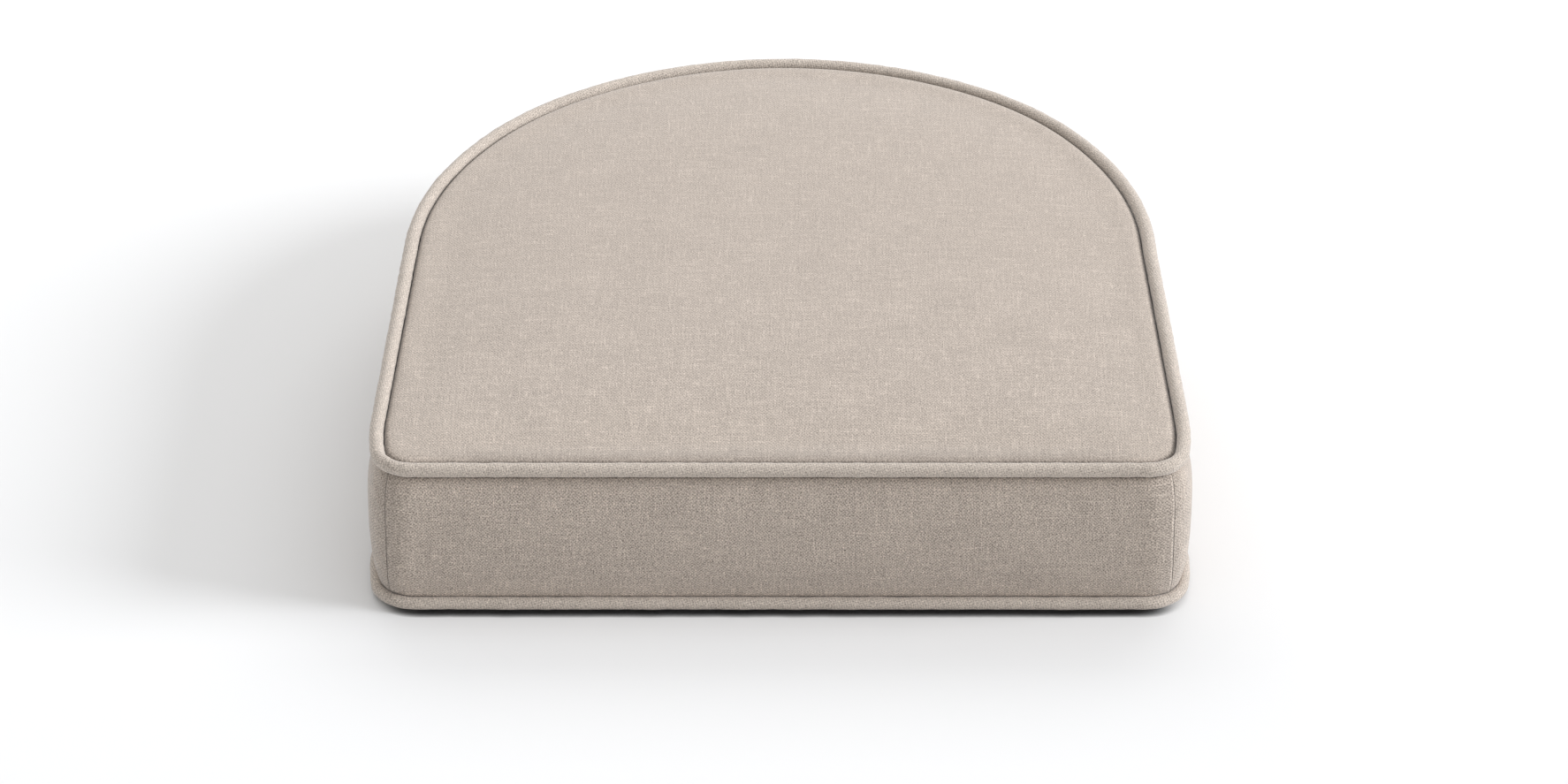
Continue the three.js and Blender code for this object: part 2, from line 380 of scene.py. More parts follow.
def panel_loops(way, out, step, height, shares):
    """A panel's loops, each drawn in from its seam by a share."""
    loops = lift(way, out, step, 0.0)[None] * (1 - shares)[:, None, None]
    loops[:, :, 2] = height(shares)[:, None]
    return loops


# Inflation by cloth simulation

WALL_ROWS = 15
SIM_STATIONS = 240
SIM_TOP_SHARES = (0.9, 0.7, 0.5, 0.35, 0.22, 0.12, 0.06, 0.03, 0.012, 0.0)
SIM_FOOT_SHARES = (0.0, 0.012, 0.03, 0.06, 0.2, 0.5, 0.9)
SIM_CROWN_LESS = 0.25
SIM_BULGE_LESS = 3.0
SIM_VOXEL = 8.0
SIM_HOLD = 1.6  # voxels from a seam at which the cloth is free
SIM_HOLD_BELOW = 2.5
SIM_MARK_STEP = 10
SIM_CAP = 1.0
SIM_FRAMES = 20
SIM_CLOTH = {
    "quality": 6,
    "mass": 0.25,
    "tension_stiffness": 25,
    "compression_stiffness": 15,
    "shear_stiffness": 8,
    "bending_stiffness": 1.5,
    "vertex_group_mass": "held",
    "pin_stiffness": 1.0,
    "use_pressure": True,
    "uniform_pressure_force": 4.0,
}
NEIGHBOURS = 6
NEIGHBOUR_SOFTNESS = 2.0
DOME_EDGE = 25.0
FULLEST = 90


def slack_height(share):
    return TOP_Z + (top_height(share) - TOP_Z) * (1 - SIM_CROWN_LESS)


def cover_loops():
    """The whole cover as stacked closed loops, its boxing and crown drawn in before it swells."""
    s = np.linspace(0, outline.length, SIM_STATIONS, endpoint=False)
    way, out = outline.at(s)
    top = panel_loops(way, out, TOP_SEAM_OUT, slack_height, np.array(SIM_TOP_SHARES))
    share = np.linspace(0, 1, WALL_ROWS)
    wall = []
    for part, step, z in zip(share, *boxing_section(share, 0.0)):
        step = step - seam_pull(s, step) - SIM_BULGE_LESS * math.sin(math.pi * part)
        wall.append(lift(way, out, step, z))
    foot = panel_loops(way, out, FOOT_SEAM_OUT, bottom_height, np.array(SIM_FOOT_SHARES))
    return np.concatenate([top, wall, foot])


def closed_cover():
    """The cover as one closed mesh, with a fan of faces in the middle of each panel."""
    loops = cover_loops()
    rows, columns = loops.shape[:2]
    cover = Piece("cover_for_inflation")
    blank = np.zeros((rows + 1, columns + 1, 2))
    cover.add_grid(loops, blank, blank, close_columns=True)
    first = cover.add_point([0, 0, loops[0, 0, 2]])
    last = cover.add_point([0, 0, 0])
    final = (rows - 1) * columns
    for i in range(columns):
        j = (i + 1) % columns
        cover.add_face([first, i, j], blank[0, :3], blank[0, :3])
        cover.add_face([last, final + j, final + i], blank[0, :3], blank[0, :3])
    return cover.build()


def vertex_places(mesh):
    places = np.empty(len(mesh.vertices) * 3)
    mesh.vertices.foreach_get("co", places)
    return places.reshape(-1, 3) / MM


def tree_of(places):
    """Places that can be asked which of them lie nearest."""
    tree = kdtree.KDTree(len(places))
    for i, place in enumerate(places):
        tree.insert(place, i)
    tree.balance()
    return tree


def hold_cloth(obj, rest):
    """Holds the cloth at both seams and on the floor."""
    marks = []
    for z, step in ((TOP_Z, TOP_SEAM_OUT), (BOTTOM_Z, FOOT_SEAM_OUT)):
        marks += list(lift(outline.way[::SIM_MARK_STEP], outline.out[::SIM_MARK_STEP], step, z))
    seams = tree_of(marks)
    near_seam = np.array([seams.find(place)[2] for place in rest])
    hold = np.clip(SIM_HOLD - near_seam / SIM_VOXEL, 0, 1)
    hold[rest[:, 2] < SIM_HOLD_BELOW] = 1.0
    group = obj.vertex_groups.new(name="held")
    for i, weight in enumerate(hold):
        if weight > 0:
            group.add([i], float(weight), "REPLACE")


def inflate():
    """Blows up a voxel copy of the cover. Returns where its points began and how far each moved."""
    obj = closed_cover()
    bpy.context.view_layer.objects.active = obj
    obj.select_set(True)
    remesh = obj.modifiers.new("voxels", "REMESH")
    remesh.mode = "VOXEL"
    remesh.voxel_size = SIM_VOXEL * MM
    bpy.ops.object.modifier_apply(modifier=remesh.name)
    rest = vertex_places(obj.data)
    hold_cloth(obj, rest)
    cloth = obj.modifiers.new("inflate", "CLOTH")
    for key, value in SIM_CLOTH.items():
        setattr(cloth.settings, key, value)
    cloth.settings.effector_weights.gravity = 0.0
    cloth.collision_settings.use_collision = False
    cloth.collision_settings.use_self_collision = False
    scene = bpy.context.scene
    for number in range(1, SIM_FRAMES + 1):
        scene.frame_set(number)
    bpy.ops.object.modifier_apply(modifier=cloth.name)
    moved = vertex_places(obj.data) - rest
    bpy.data.objects.remove(obj)
    scene.frame_set(1)
    return rest, moved


class Swell:
    """How the filled cover swells, as a smooth field sampled from the simulated cloth."""

    def __init__(self):
        self.tree = None
        rest, self.moved = inflate()
        self.tree = tree_of(rest)
        self.most = self.at(np.array([[0.0, 0.0, TOP_Z + TOP_ROLL + TOP_SLOPE + CROWN]]))[0, 2]

    def at(self, places):
        flat = places.reshape(-1, 3)
        result = np.zeros_like(flat)
        for i, place in enumerate(flat):
            found = self.tree.find_n(place, NEIGHBOURS)
            weights = np.array([1 / (NEIGHBOUR_SOFTNESS + distance) ** 2 for _, _, distance in found])
            result[i] = weights @ self.moved[[number for _, number, _ in found]] / weights.sum()
        return result.reshape(places.shape)

    def dome(self, places, share):
        """The crown's rise over a panel, 0 at its seam and 1 in the middle."""
        plain = plain_dome(share)
        if self.tree is None:
            return plain
        risen = self.at(places)[..., 2] / self.most
        near = np.clip(share * MEAN_RADIUS / DOME_EDGE, 0, 1)
        return plain + (risen - plain) * smooth_step(near)

    def fullness(self, places, out):
        """How much less full a boxing's rows are than where they are fullest, with rows running down."""
        if self.tree is None:
            return np.zeros(places.shape[:2])
        outward = (self.at(places)[..., :2] * out).sum(-1)
        less = outward - np.percentile(outward, FULLEST, axis=1)[:, None]
        return np.clip(less, -SIM_CAP, SIM_CAP)


swell = Swell()


# Materials

# The weave's sizes in millimetres, but for the widths given as shares of a thread's pitch
THREAD = 1.12
FIBRE_WIDTH = 0.85
DRIFT_SIZE = (14.0, 14.0)
DRIFT = 1.6
JITTER_SIZE = (2.0, 2.0)
JITTER = 2.0
THREAD_RUN = 34.0
SLUB_WIDTH = 0.6
SLUB_RUN = 10.0
CLUMP_SIZE = (3.2, 3.2)
MOTTLE_SIZE = (38.0, 38.0)
SEED_STEP = (37.0, 53.0)

# What each of its fields adds to the tone, and where a thread counts as thick or as a slub
CROSSING_TONE = 0.38
FIBRE_TONE = 1.15
CLUMP_TONE = 0.10
THREAD_TONE = 0.26
THICK_TONE = 0.14
THICK_FROM = 0.64
SLUB_TONE = 0.26
SLUB_FROM = 0.62
MOTTLE_TONE = 0.14
PEAK_STEEPNESS = 9.0

# What they add to the height, as shares of the weave's depth, and the cloth's gloss
CROSSING_HEIGHT = 0.4
FIBRE_HEIGHT = 0.9
THREAD_HEIGHT = 0.5
STITCH_HEIGHT = -1.5
WEAVE_DEPTH = 0.22
ROUGHNESS = 0.86
ROUGHNESS_SPREAD = 0.16

# Where the panel's weave is most open and where it has closed, along Y
CRISP_FROM, CRISP_TO = -240.0, 80.0

# Stitches, and the painted shade and light by the seams
STITCH = 4.6
STITCH_UNEVEN = 0.7
STITCH_DOT = (0.05, 0.2)
STITCH_SHADE = 0.35
CREASE_EDGE = (0.2, 0.5)
CORNER_SHADE_REACH = 14.0
PAINTED_EDGE_LIGHT = 0.08
PAINTED_EDGE_LIGHT_REACH = (5.0, 20.0)
FOLD_LIGHT = 0.3
FOLD_FROM, FOLD_TO = (0.5, 0.9), (1.3, 1.9)

# Where the painted shade behind the front seam begins and ends, counted in stitches, and how far in it
# reaches
FRONT_SHADE_FROM, FRONT_SHADE_TO = (1, 13), (96, 108)
FRONT_SHADE_REACH = 20.0


class Nodes:
    """Short ways to add and join the nodes of one material or world."""

    def __init__(self, owner):
        owner.use_nodes = True
        self.tree = owner.node_tree
        self.tree.nodes.clear()

    def add(self, kind, inputs=(), **settings):
        node = self.tree.nodes.new(kind)
        for key, value in settings.items():
            setattr(node, key, value)
        for key, value in dict(inputs).items():
            if isinstance(value, bpy.types.NodeSocket):
                self.tree.links.new(value, node.inputs[key])
            else:
                node.inputs[key].default_value = value
        return node

    def math(self, operation, a, b=0.0, clamp=False):
        return self.add("ShaderNodeMath", {0: a, 1: b}, operation=operation, use_clamp=clamp).outputs[0]

    def times(self, a, b):
        return self.math("MULTIPLY", a, b)

    def minus(self, a, b):
        return self.math("SUBTRACT", a, b)

    def total(self, first, *parts):
        for part in parts:
            first = self.math("ADD", first, part)
        return first

    def layer(self, name):
        return self.add("ShaderNodeUVMap", uv_map=name).outputs["UV"]

    def split(self, source):
        return self.add("ShaderNodeSeparateXYZ", {"Vector": source}).outputs

    def noise(self, source, size, detail=2.0, rough=0.5, shift=0.0):
        """Flat noise whose blobs are about that size along each way, in millimetres."""
        scale = (1 / size[0], 1 / size[1], 1)
        move = {"Vector": source, "Scale": scale, "Location": (shift, 2 * shift, 0)}
        placed = self.add("ShaderNodeMapping", move).outputs["Vector"]
        inputs = {"Vector": placed, "Scale": 1.0, "Detail": detail, "Roughness": rough}
        return self.add("ShaderNodeTexNoise", inputs, noise_dimensions="2D")

    def about(self, noise, amount):
        """Noise centred on zero."""
        return self.times(self.minus(noise.outputs["Fac"], 0.5), amount)

    def above(self, noise, start, amount):
        """Only the noise's peaks."""
        past = self.minus(noise.outputs["Fac"], start)
        return self.times(self.math("MULTIPLY", past, PEAK_STEEPNESS, clamp=True), amount)

    def ramp(self, value, start, end, first, last):
        inputs = {"Value": value, "From Min": start, "From Max": end, "To Min": first, "To Max": last}
        return self.add("ShaderNodeMapRange", inputs, interpolation_type="SMOOTHSTEP").outputs["Result"]

    def wandering(self, source, noise, reach):
        inputs = {0: noise.outputs["Color"], 1: (reach, reach, 0), 2: source}
        return self.add("ShaderNodeVectorMath", inputs, operation="MULTIPLY_ADD").outputs["Vector"]


def weave_fields(n, flat, threads):
    """The crossings of the threads, and noises for all that varies along and across them.

    The threads wander a little, so the weave's rows are never ruled lines, and each has its own thickness
    and tone along its length.
    """
    warp, weft = threads
    drifting = n.wandering(flat, n.noise(flat, DRIFT_SIZE), DRIFT)
    jitter = n.noise(flat, JITTER_SIZE, detail=1.0, shift=4.0)
    place = n.split(n.wandering(drifting, jitter, JITTER))
    across = n.math("SINE", n.times(place["X"], math.pi / warp))
    along = n.math("SINE", n.times(place["Y"], math.pi / weft))
    fields = {
        "warp": n.noise(drifting, (warp, THREAD_RUN), detail=3.0, rough=0.55),
        "weft": n.noise(drifting, (THREAD_RUN, weft), detail=3.0, rough=0.55, shift=7.0),
        "warp_slub": n.noise(drifting, (SLUB_WIDTH * warp, SLUB_RUN), detail=1.0, shift=11.0),
        "weft_slub": n.noise(drifting, (SLUB_RUN, SLUB_WIDTH * weft), detail=1.0, shift=13.0),
        "fibre": n.noise(flat, (FIBRE_WIDTH * warp, FIBRE_WIDTH * weft), detail=1.0, shift=2.0),
        "clump": n.noise(flat, CLUMP_SIZE, rough=0.6, shift=3.0),
        "mottle": n.noise(flat, MOTTLE_SIZE, detail=3.0, rough=0.55, shift=5.0),
    }
    return n.times(across, along), fields


def weave_tone(n, crossing, fields, weave, streak):
    return n.total(
        1.0,
        n.times(crossing, CROSSING_TONE * weave),
        n.about(fields["fibre"], FIBRE_TONE * weave),
        n.about(fields["clump"], CLUMP_TONE * weave),
        n.about(fields["warp"], THREAD_TONE * streak),
        n.about(fields["weft"], THREAD_TONE * streak),
        n.above(fields["warp"], THICK_FROM, THICK_TONE * streak),
        n.above(fields["weft"], THICK_FROM, THICK_TONE * streak),
        n.above(fields["warp_slub"], SLUB_FROM, SLUB_TONE * streak),
        n.above(fields["weft_slub"], SLUB_FROM, SLUB_TONE * streak),
        n.about(fields["mottle"], MOTTLE_TONE),
    )


def stitch_dots(n, run):
    """1 at each stitch along a seam and 0 between them."""
    spaced = {"W": run, "Scale": 1.0, "Randomness": STITCH_UNEVEN}
    spaced = n.add("ShaderNodeTexVoronoi", spaced, voronoi_dimensions="1D", feature="F1")
    return n.ramp(spaced.outputs["Distance"], *STITCH_DOT, 1.0, 0.0)


def upright_seam_tone(n, tone, along, inward, crease_shade_and_join, corners):
    """Painted shade in the boxing's crease at each upright seam and the piping's join line there, and with
    corners more painted shade and light.
    """
    way = n.times(along, 1 / MM)
    to_left = n.math("MINIMUM", way, n.minus(outline.length, way))
    to_right = n.math("ABSOLUTE", n.minus(way, outline.right_seam))
    near = n.math("MINIMUM", to_left, to_right)
    # Painted shade in the seam's crease; on the piping the same line marks its join
    tone = n.times(tone, n.ramp(near, *CREASE_EDGE, 1 - crease_shade_and_join, 1.0))
    if not corners:
        return tone
    # Painted shade round the upright seams, where the cloth turns between the front and the side
    tone = n.times(tone, n.ramp(near, 0.0, CORNER_SHADE_REACH, 1 - corners, 1.0))
    # Painted light: the cloth is paler 5 to 20 mm in from the seams, most of all under the top piping
    tone = n.times(tone, n.ramp(inward, *PAINTED_EDGE_LIGHT_REACH, 1 + PAINTED_EDGE_LIGHT, 1.0))
    # Painted highlight on the front strip's folded edge along the right seam
    before = n.minus(outline.right_seam, way)
    rise = n.ramp(before, *FOLD_FROM, 0.0, 1.0)
    fall = n.ramp(before, *FOLD_TO, FOLD_LIGHT, 0.0)
    return n.times(tone, n.total(1.0, n.times(rise, fall)))


def front_shade_tone(n, tone, run, inward, front_shade):
    """Painted shade: the panel is darkened behind the straight front seam, most at the seam."""
    rise = n.ramp(run, *FRONT_SHADE_FROM, 0.0, 1.0)
    fall = n.ramp(run, *FRONT_SHADE_TO, 1.0, 0.0)
    shaded = n.times(n.times(rise, fall), n.ramp(inward, 0.0, FRONT_SHADE_REACH, front_shade, 0.0))
    return n.times(tone, n.minus(1.0, shaded))


def fabric(
    name,
    base,
    shade,
    seed,
    threads=(THREAD, THREAD),
    turn=0.0,
    weave=1.0,
    streak=1.0,
    crease_shade_and_join=0.0,
    corners=0.0,
    front_shade=0.0,
    crisp=None,
):
    """Linen: a plain weave with uneven threads, slubs and soft mottling, in the mesh's own grain.

    shade is the painted shade in the grooves at the seams: how dark it gets and the band it clears over, in
    millimetres.
    The crease, corner and front settings paint more shade and light by the seams, and the piping's join
    lines. crisp is how strong the weave's contrast is at the front and at the back.
    """
    depth, shade_start, shade_end = shade
    material = bpy.data.materials.new(name)
    n = Nodes(material)
    grain = n.layer("grain")
    move = {
        "Vector": grain,
        "Scale": (1 / MM, 1 / MM, 1),
        "Rotation": (0, 0, turn),
        "Location": (seed * SEED_STEP[0], seed * SEED_STEP[1], 0),
    }
    flat = n.add("ShaderNodeMapping", move).outputs["Vector"]
    crossing, fields = weave_fields(n, flat, threads)
    tone = weave_tone(n, crossing, fields, weave, streak)
    if crisp:
        contrast = n.ramp(n.split(grain)["Y"], CRISP_FROM * MM, CRISP_TO * MM, *crisp)
        tone = n.total(1.0, n.times(n.minus(tone, 1.0), contrast))

    # Painted shade: close to a seam, where shade falls in the groove between the parts, the cloth is
    # darkened, most of all where a stitch pulls it in
    seam = n.split(n.layer("seam"))
    run = n.times(seam["X"], 1 / (STITCH * MM))
    inward = n.times(seam["Y"], 1 / MM)
    stitch = n.times(stitch_dots(n, run), n.ramp(inward, shade_start, shade_end, 1.0, 0.0))
    tone = n.times(tone, n.ramp(inward, shade_start, shade_end, depth, 1.0))
    tone = n.times(tone, n.minus(1.0, n.times(stitch, STITCH_SHADE)))
    if crease_shade_and_join:
        tone = upright_seam_tone(n, tone, seam["X"], inward, crease_shade_and_join, corners)
    if front_shade:
        tone = front_shade_tone(n, tone, run, inward, front_shade)
    scaled = {0: base, "Scale": tone}
    colour = n.add("ShaderNodeVectorMath", scaled, operation="SCALE").outputs["Vector"]

    height = n.total(
        n.times(crossing, CROSSING_HEIGHT),
        n.about(fields["fibre"], FIBRE_HEIGHT),
        n.about(fields["warp"], THREAD_HEIGHT),
        n.about(fields["weft"], THREAD_HEIGHT),
        n.times(stitch, STITCH_HEIGHT),
    )
    raised = {"Height": height, "Strength": 0.8, "Distance": WEAVE_DEPTH * MM}
    inputs = {
        "Base Color": colour,
        "Roughness": n.total(ROUGHNESS, n.about(fields["fibre"], ROUGHNESS_SPREAD)),
        "Normal": n.add("ShaderNodeBump", raised).outputs["Normal"],
        "Specular IOR Level": 0.15,
        "Sheen Weight": 0.36,
        "Sheen Roughness": 0.45,
    }
    shader = n.add("ShaderNodeBsdfPrincipled", inputs)
    n.add("ShaderNodeOutputMaterial", {"Surface": shader.outputs["BSDF"]})
    return material


LINEN = (0.428, 0.367, 0.316)
BOXING_LINEN = (0.427, 0.366, 0.3145)
PIPING_LINEN = (0.484, 0.423, 0.368)
panel_linen = fabric(
    "panel_linen",
    LINEN,
    shade=(0.5, 0.4, 3.0),
    seed=1.0,
    threads=(THREAD, 1.5),
    weave=0.57,
    streak=0.9,
    front_shade=0.2,
    crisp=(1.06, 0.72),
)
boxing_linen = fabric(
    "boxing_linen",
    BOXING_LINEN,
    shade=(0.5, 2.6, 4.2),
    seed=2.0,
    crease_shade_and_join=0.3,
    corners=0.2,
)
piping_linen = fabric(
    "piping_linen",
    PIPING_LINEN,
    shade=(0.6, 0.0, 1.0),
    seed=3.0,
    turn=math.radians(30),
    weave=0.8,
    streak=0.6,
    crease_shade_and_join=0.16,
)


# The filled cushion: its crowned top panel, the wall behind the boxing and the flat bottom panel

STATIONS = 600
ROWS_IN = (
    0, 0.6, 1.2, 1.8, 2.6, 3.6, 5, 7, 9.5, 12.5, 16, 20, 25, 31, 38, 46, 56, 68, 82, 98,
    116, 136, 160, 186, 212, 234,
)
# The wall behind the boxing shows only in the crevices, so it is placed near a seam and takes the painted
# seam shade
WALL_SHADE_AT = 1.5
MIDDLE_RISE = 0.05


def make_cushion():
    s = np.linspace(0, outline.length, STATIONS, endpoint=False)
    way, out = outline.at(s)
    near = np.array(ROWS_IN)
    shares = near / MEAN_RADIUS
    risen_shares = shares[::-1]
    top = panel_loops(way, out, TOP_SEAM_OUT, top_height, risen_shares)
    swelling = swell.dome(top, risen_shares[:, None]) - plain_dome(risen_shares[:, None])
    top[:, :, 2] += CROWN * swelling
    wall = []
    for step, z in zip(*boxing_section(np.linspace(0, 1, WALL_ROWS), CLOTH + 2 * GAP)):
        wall.append(lift(way, out, step - seam_pull(s, step), z))
    upper_lip = lift(way, out, TOP_SEAM_OUT, TOP_Z - SEAM_WALL)
    lower_lip = lift(way, out, FOOT_LIP[0], BOTTOM_Z + FOOT_LIP[1])
    wall = [upper_lip, *wall, lower_lip]
    bottom = panel_loops(way, out, FOOT_SEAM_OUT, bottom_height, shares)
    loops = np.concatenate([top, wall, bottom])
    inward = np.concatenate([near[::-1], np.full(len(wall), WALL_SHADE_AT), near])[:, None]
    grain = np.concatenate([loops, loops[:, :1]], 1)[..., :2]
    seam = np.stack(np.broadcast_arrays(np.r_[s, outline.length][None, :], inward), -1)
    piece = Piece("cushion_body")
    start = piece.add_grid(loops, grain, seam, close_columns=True)
    middle = piece.add_point([0, 0, top[0, :, 2].mean() + MIDDLE_RISE])
    foot = piece.add_point([0, 0, 0])
    last = start + (len(loops) - 1) * STATIONS
    deep = [[0.0, near[-1]]] * 3
    for i in range(STATIONS):
        j = (i + 1) % STATIONS
        piece.add_face([middle, start + i, start + j], [[0, 0], loops[0, i, :2], loops[0, j, :2]], deep)
        piece.add_face([foot, last + j, last + i], [[0, 0], loops[-1, j, :2], loops[-1, i, :2]], deep)
    obj = piece.build()
    obj.data.materials.append(panel_linen)
    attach(obj, "root")
    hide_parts("cushion")


# The two boxing strips

STRIP_ROWS = 41
STRIP_STEP = 2.2
STRIP_END = 8.0
STRIP_END_STEP = 0.4
STRIP_GAP = 0.1
EVEN_ROWS = 0.5  # how far the rows are spaced evenly and not crowded at the pipings
HELD_SHARE = 0.125  # share of the strip at each piping over which its swelling begins
# Added to the way in at the strip's foot and its upright ends, so the painted seam shade stays off the foot
# and is narrow at the ends
FOOT_SHADE_AWAY = 4.2
UPRIGHT_SHADE_AWAY = 3.7
PUCKER = 0.14
PUCKER_WAVE = 7.0
PUCKER_REACH = 6.0
PUCKER_SEED = 31
PULL = 0.35
PULL_WAVE = 13.0
PULL_SLANT = 0.9
PULL_WOBBLE = 0.8
PULL_WOBBLE_RUN = 7.0
PULL_START = 2.5
PULL_REACH = 11.0
RIDGE = 0.7
RIDGE_REACH = 2.5
RIDGE_EDGE = 0.7


def puckers(s, drop):
    """Small waves under the top seam, slanting pulls by the upright seams, and the right one's ridge."""
    drop = drop[:, None]
    waves = PUCKER * smooth_noise(s, outline.length, PUCKER_SEED, PUCKER_WAVE)[None, :]
    waves = waves * np.exp(-drop / PUCKER_REACH)
    away = outline.to_seam(s)[None, :]
    wobble = PULL_WOBBLE * np.sin(drop / PULL_WOBBLE_RUN)
    slant = np.sin(2 * math.pi * (drop + PULL_SLANT * away) / PULL_WAVE + wobble)
    pulls = PULL * slant * np.exp(-away / PULL_REACH) * (1 - np.exp(-away / PULL_START))
    before_right = np.clip(outline.right_seam - s, 0, None)[None, :]
    rise = 1 - np.exp(-((before_right / RIDGE_EDGE) ** 2))
    return waves + pulls + RIDGE * np.exp(-before_right / RIDGE_REACH) * rise


def strip_ways(start, end):
    """Ways along a strip, close together at its ends."""
    length = end - start - 2 * STRIP_GAP
    fine = np.arange(0, STRIP_END, STRIP_END_STEP)
    even = np.linspace(STRIP_END, length - STRIP_END, int((end - start) / STRIP_STEP))
    return start + STRIP_GAP + np.r_[fine, even, length - fine[::-1]]


def strip_shares():
    """Shares down a strip, a little closer together at the pipings."""
    even = np.linspace(0, 1, STRIP_ROWS)
    crowded = (1 - np.cos(math.pi * even)) / 2
    return crowded * (1 - EVEN_ROWS) + even * EVEN_ROWS


def upright_bow(s, section):
    """The upright seams stand straighter than the bulge, so they lie nearer the sides at top and bottom."""
    to_left = np.minimum(s, outline.length - s)
    to_right = np.abs(s - outline.right_seam)
    leaning = np.exp(-to_right / SEAM_BOW_REACH) - np.exp(-to_left / SEAM_BOW_REACH)
    bow = SEAM_BOW * (1 - np.clip(section[:, 0] / BULGE, 0, 1))
    return s + bow[:, None] * leaning


def make_boxing(name, node, start, end):
    s = strip_ways(start, end)
    share = strip_shares()
    rows, columns = len(share), len(s)
    section = np.stack(boxing_section(share, 0.0), -1)
    drop = np.r_[0, np.cumsum(np.linalg.norm(np.diff(section, axis=0), axis=1))]
    placed = upright_bow(s, section)
    way, out = outline.at(placed)
    faces = []
    for inset in (0.0, CLOTH):
        step, z = (side[:, None] for side in boxing_section(share, inset))
        faces.append(lift(way, out, step - seam_pull(placed, step), z))
    free = np.clip(np.minimum(share, 1 - share) / HELD_SHARE, 0, 1)[:, None]
    move = swell.fullness(faces[0], out) * smooth_step(free) + puckers(s, drop)
    outer, inner = (face + lift(0 * way, out, move, 0.0) for face in faces)
    grain = np.stack(np.broadcast_arrays(s[None, :], -drop[:, None]), -1)
    inward = np.minimum(drop, drop[-1] - drop + FOOT_SHADE_AWAY)[:, None]
    inward = np.minimum(inward, outline.to_seam(s)[None, :] + UPRIGHT_SHADE_AWAY)
    seam = np.stack(np.broadcast_arrays(s[None, :], inward), -1)
    ring = np.concatenate([outer, inner[::-1]])
    ring_grain = np.concatenate([grain, grain[::-1], grain[:1]])
    ring_seam = np.concatenate([seam, seam[::-1], seam[:1]])
    piece = Piece(name)
    first = piece.add_grid(ring, ring_grain, ring_seam, close_rows=True)
    for column, turn in ((0, 1), (columns - 1, -1)):
        for row in range(rows - 1):
            other = 2 * rows - 1 - row
            corners = [row, other, other - 1, row + 1][::turn]
            at = [first + corner * columns + column for corner in corners]
            piece.add_face(at, ring_grain[corners, column], ring_seam[corners, column])
    obj = piece.build()
    obj.data.materials.append(boxing_linen)
    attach(obj, "root")
    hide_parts(node)


# The two pipings

CORD_STEP = 2.0
CORD_SIDES = 28
CORD_LESS = 0.15  # how much thinner a cord is than its piping
CORD_UNEVEN = 0.07
CORD_UNEVEN_WAVE = 9.0
CORD_WANDER = 0.09
CORD_WANDER_WAVE = 30.0
CORD_SEAM_AWAY = 9.0


def make_piping(name, node, size, step, z, seed):
    s = np.linspace(0, outline.length, int(outline.length / CORD_STEP), endpoint=False)
    way, out = outline.at(s)
    radius = size + CORD_UNEVEN * smooth_noise(s, outline.length, seed, CORD_UNEVEN_WAVE)
    wander = CORD_WANDER * smooth_noise(s, outline.length, seed + 1, CORD_WANDER_WAVE)
    turns = np.arange(CORD_SIDES + 1) / CORD_SIDES * 2 * math.pi
    rows = []
    for turn in turns[:-1]:
        aside = step + wander + radius * math.cos(turn)
        rows.append(lift(way, out, aside, z + radius * math.sin(turn)))
    along = np.r_[s, outline.length][None, :]
    grain = np.stack(np.broadcast_arrays(along, (turns * size)[:, None]), -1)
    seam = np.stack(np.broadcast_arrays(along, np.full((CORD_SIDES + 1, 1), CORD_SEAM_AWAY)), -1)
    piece = Piece(name)
    piece.add_grid(np.stack(rows), grain, seam, close_rows=True, close_columns=True, flip=True)
    obj = piece.build()
    obj.data.materials.append(piping_linen)
    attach(obj, "root")
    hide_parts(node)


# Floor, sky and lights, with the contact shade's sizes in millimetres and all others in metres

FLOOR_WHITE = 0.835
FLOOR_HALF = 6.0
FLOOR_DROP = 0.0001
CONTACT_REACH = 5.6
CONTACT_DEPTH = 3.6
CONTACT_AHEAD = (248.0, 266.0)
CONTACT_ASIDE = (222.0, 266.0)
CONTACT_LEAN = (0.0, 0.85, 0.527)
SKY_LOW = 0.38
SKY_HIGH = 0.88
SKY_BRIGHTEST = (0.0, 0.1, 0.995)
KEY_ELEVATION = math.radians(26)
KEY_AZIMUTH = math.radians(-5)
KEY_ANGLE = math.radians(26)
KEY_STRENGTH = 2.58
KEY_COLOUR = (0.98, 1.0, 1.035)
KEY_DISTANCE = 3.0
BACK_LIGHT = (0.1, 1.3, 1.7)
BACK_LIGHT_SIZE = (2.4, 1.2)
BACK_LIGHT_POWER = 14.0


def make_floor():
    """A white floor, shaded where the front piping all but touches it."""
    half = FLOOR_HALF
    mesh = bpy.data.meshes.new("floor")
    corners = [(-half, -half, 0), (half, -half, 0), (half, half, 0), (-half, half, 0)]
    mesh.from_pydata(corners, [], [(0, 1, 2, 3)])
    floor = bpy.data.objects.new("floor", mesh)
    floor.location.z = -FLOOR_DROP
    bpy.context.scene.collection.objects.link(floor)
    material = bpy.data.materials.new("floor_white")
    n = Nodes(material)
    reach = {"Distance": CONTACT_REACH * MM, "Normal": CONTACT_LEAN}
    open_sky = n.add("ShaderNodeAmbientOcclusion", reach, samples=8)
    place = n.split(n.add("ShaderNodeTexCoord").outputs["Object"])
    ahead = n.times(place["Y"], -1 / MM)
    aside = n.times(n.math("ABSOLUTE", place["X"]), 1 / MM)
    in_front = n.ramp(ahead, *CONTACT_AHEAD, 0.0, CONTACT_DEPTH)
    depth = n.times(in_front, n.ramp(aside, *CONTACT_ASIDE, 1.0, 0.0))
    white = n.times(n.math("POWER", open_sky.outputs["AO"], depth), FLOOR_WHITE)
    inputs = {"Base Color": white, "Roughness": 0.9, "Specular IOR Level": 0.1}
    shader = n.add("ShaderNodeBsdfPrincipled", inputs)
    n.add("ShaderNodeOutputMaterial", {"Surface": shader.outputs["BSDF"]})
    mesh.materials.append(material)


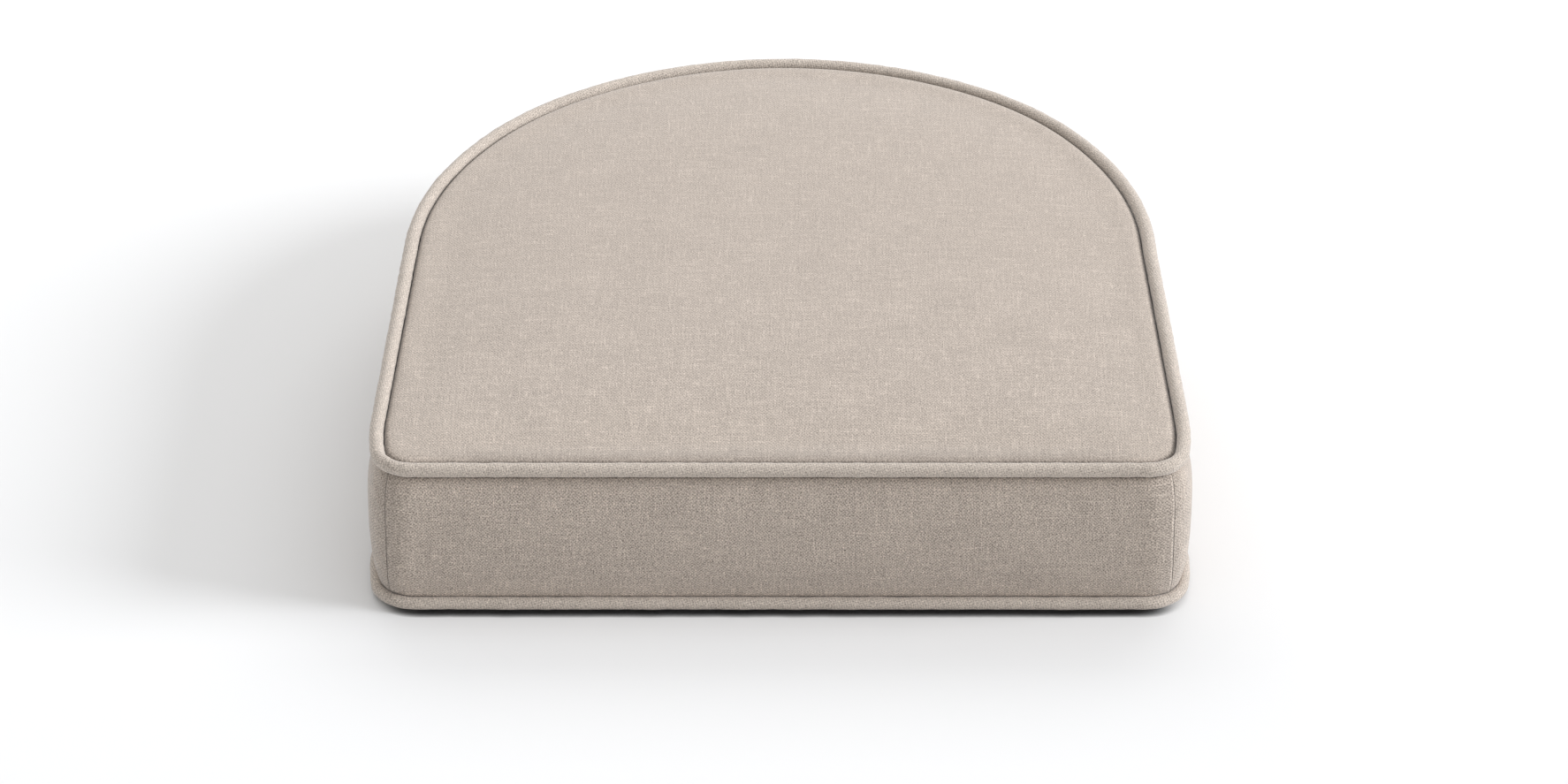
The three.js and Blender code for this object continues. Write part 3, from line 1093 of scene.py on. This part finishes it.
def make_sky():
    """A white studio that is brightest overhead, behind the cushion."""
    world = bpy.data.worlds.new("studio")
    n = Nodes(world)
    place = n.add("ShaderNodeTexCoord").outputs["Generated"]
    towards = n.add("ShaderNodeVectorMath", {0: place, 1: SKY_BRIGHTEST}, operation="DOT_PRODUCT")
    inputs = {"Value": towards.outputs["Value"], "To Min": SKY_LOW, "To Max": SKY_HIGH}
    level = n.add("ShaderNodeMapRange", inputs).outputs["Result"]
    sky = n.add("ShaderNodeBackground", {"Color": (1, 1, 1, 1), "Strength": level})
    n.add("ShaderNodeOutputWorld", {"Surface": sky.outputs["Background"]})
    bpy.context.scene.world = world


def add_light(data, place, towards):
    light = bpy.data.objects.new(data.name, data)
    light.location = place
    light.rotation_euler = towards.to_track_quat("Z", "Y").to_euler()
    bpy.context.scene.collection.objects.link(light)


def make_key():
    """A large soft light on the right."""
    data = bpy.data.lights.new("key", "SUN")
    data.energy = KEY_STRENGTH
    data.angle = KEY_ANGLE
    data.color = KEY_COLOUR
    flat = math.cos(KEY_ELEVATION)
    towards = Vector((flat * math.cos(KEY_AZIMUTH), flat * math.sin(KEY_AZIMUTH), math.sin(KEY_ELEVATION)))
    add_light(data, towards * KEY_DISTANCE, towards)


def make_back_light():
    """A wide soft light high behind the cushion, so the top fades a little towards the front."""
    data = bpy.data.lights.new("back", "AREA")
    data.shape = "RECTANGLE"
    data.size, data.size_y = BACK_LIGHT_SIZE
    data.energy = BACK_LIGHT_POWER
    add_light(data, BACK_LIGHT, Vector(BACK_LIGHT))


bpy.context.scene.view_settings.view_transform = "Standard"
make_camera()
make_cushion()
make_boxing("front_boxing_cloth", "front_boxing", 0.0, outline.right_seam)
make_boxing("side_boxing_cloth", "side_boxing", outline.right_seam, outline.length)
make_piping("top_piping_cord", "top_piping", PIPING_RADIUS - CORD_LESS, 0.0, TOP_Z, seed=11)
foot_cord = FOOT_PIPING_RADIUS - CORD_LESS
make_piping("bottom_piping_cord", "bottom_piping", foot_cord, SPLAY, BOTTOM_Z - CORD_LESS, seed=21)
make_floor()
make_sky()
make_key()
make_back_light()
